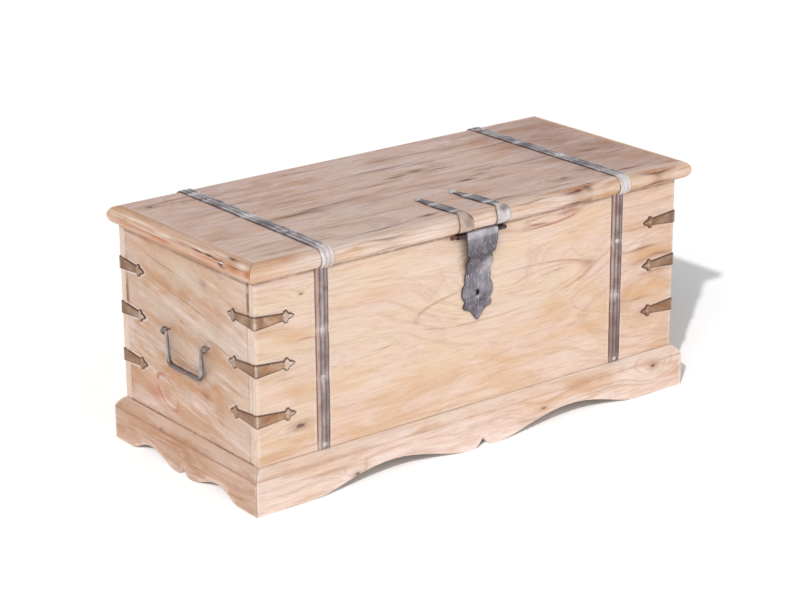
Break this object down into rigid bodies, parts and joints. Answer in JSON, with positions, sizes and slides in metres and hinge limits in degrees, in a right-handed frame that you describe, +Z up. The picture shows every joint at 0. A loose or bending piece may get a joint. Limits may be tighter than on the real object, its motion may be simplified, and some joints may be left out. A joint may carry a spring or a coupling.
{
  "type": "wooden storage chest",
  "caption": "Wooden storage chest with a hinged lid, iron bands, a cranked hasp, corner brackets, bail handles and a scalloped plinth.",
  "frame": {"origin": "on the floor, under the middle of the body's length and depth", "axes": "+X to the right along the front, +Y from the front to the back, +Z up; the hasp is at -Y"},
  "size_m": [0.9, 0.4179, 0.4054],
  "materials": {
    "pale_wood": "knotty pale pine, limewashed and sanded back, satin",
    "lid_wood": "stained pine, worn, satin",
    "end_wood": "stained pine, satin",
    "plinth_wood": "stained pine, satin",
    "inner_wood": "plain sawn pine, matt",
    "band_iron": "dark aged iron with lighter worn ridges",
    "hasp_iron": "beaten blue-grey iron, rubbed bright in places",
    "handle_steel": "rubbed steel wire, brown where it is handled",
    "bracket_brass": "thin antiqued brass sheet, rubbed"
  },
  "bodies": {
    "chest": {"front_panel": "pale_wood", "back_panel": "pale_wood", "left_end_panel": "end_wood", "right_end_panel": "end_wood", "bottom_board": "inner_wood", "bottom_cleat_front": "inner_wood", "bottom_cleat_back": "inner_wood", "foot_block_front_left": "inner_wood", "foot_block_front_right": "inner_wood", "foot_block_back_left": "inner_wood", "foot_block_back_right": "inner_wood", "plinth_front": "plinth_wood", "plinth_back": "plinth_wood", "plinth_left": "plinth_wood", "plinth_right": "plinth_wood", "front_band_left": "band_iron", "front_band_right": "band_iron", "corner_bracket_front_left_lower": "bracket_brass", "corner_bracket_front_left_middle": "bracket_brass", "corner_bracket_front_left_upper": "bracket_brass", "corner_bracket_front_right_lower": "bracket_brass", "corner_bracket_front_right_middle": "bracket_brass", "corner_bracket_front_right_upper": "bracket_brass", "corner_bracket_back_left_lower": "bracket_brass", "corner_bracket_back_left_middle": "bracket_brass", "corner_bracket_back_left_upper": "bracket_brass", "corner_bracket_back_right_lower": "bracket_brass", "corner_bracket_back_right_middle": "bracket_brass", "corner_bracket_back_right_upper": "bracket_brass", "handle_eye_left_front": "handle_steel", "handle_eye_left_back": "handle_steel", "handle_eye_right_front": "handle_steel", "handle_eye_right_back": "handle_steel", "rear_hinge_leaf_left": "band_iron", "rear_hinge_leaf_right": "band_iron", "rear_hinge_pin_left": "band_iron", "rear_hinge_pin_right": "band_iron"},
    "lid": {"lid_board_1": "lid_wood", "lid_board_2": "lid_wood", "lid_board_3": "lid_wood", "lid_board_4": "lid_wood", "lid_nosing_front": "lid_wood", "lid_nosing_back": "lid_wood", "lid_nosing_left": "lid_wood", "lid_nosing_right": "lid_wood", "lid_batten_left": "inner_wood", "lid_batten_right": "inner_wood", "lid_band_left": "band_iron", "lid_band_right": "band_iron", "hasp_strap_left": "hasp_iron", "hasp_strap_right": "hasp_iron", "hasp_pin": "bracket_brass", "lid_hinge_leaf_left": "band_iron", "lid_hinge_leaf_right": "band_iron"},
    "hasp": {"hasp_plate": "hasp_iron"},
    "handle_left": {"handle_left": "handle_steel"},
    "handle_right": {"handle_right": "handle_steel"}
  },
  "joints": [
    {"name": "lid_hinge", "type": "hinge", "parent": "chest", "child": "lid", "pos_m": [0, 0.1945, 0.37225], "axis": [-1, 0, 0], "range_deg": [0, 100]},
    {"name": "hasp_hinge", "type": "hinge", "parent": "lid", "child": "hasp", "pos_m": [-0.003, -0.20022, 0.36741], "axis": [-1, 0, 0], "range_deg": [0, 90]},
    {"name": "handle_left_swing", "type": "hinge", "parent": "chest", "child": "handle_left", "pos_m": [-0.441, -0.008, 0.2301], "axis": [0, 1, 0], "range_deg": [-5, 150]},
    {"name": "handle_right_swing", "type": "hinge", "parent": "chest", "child": "handle_right", "pos_m": [0.441, -0.008, 0.2301], "axis": [0, -1, 0], "range_deg": [-5, 150]}
  ]
}
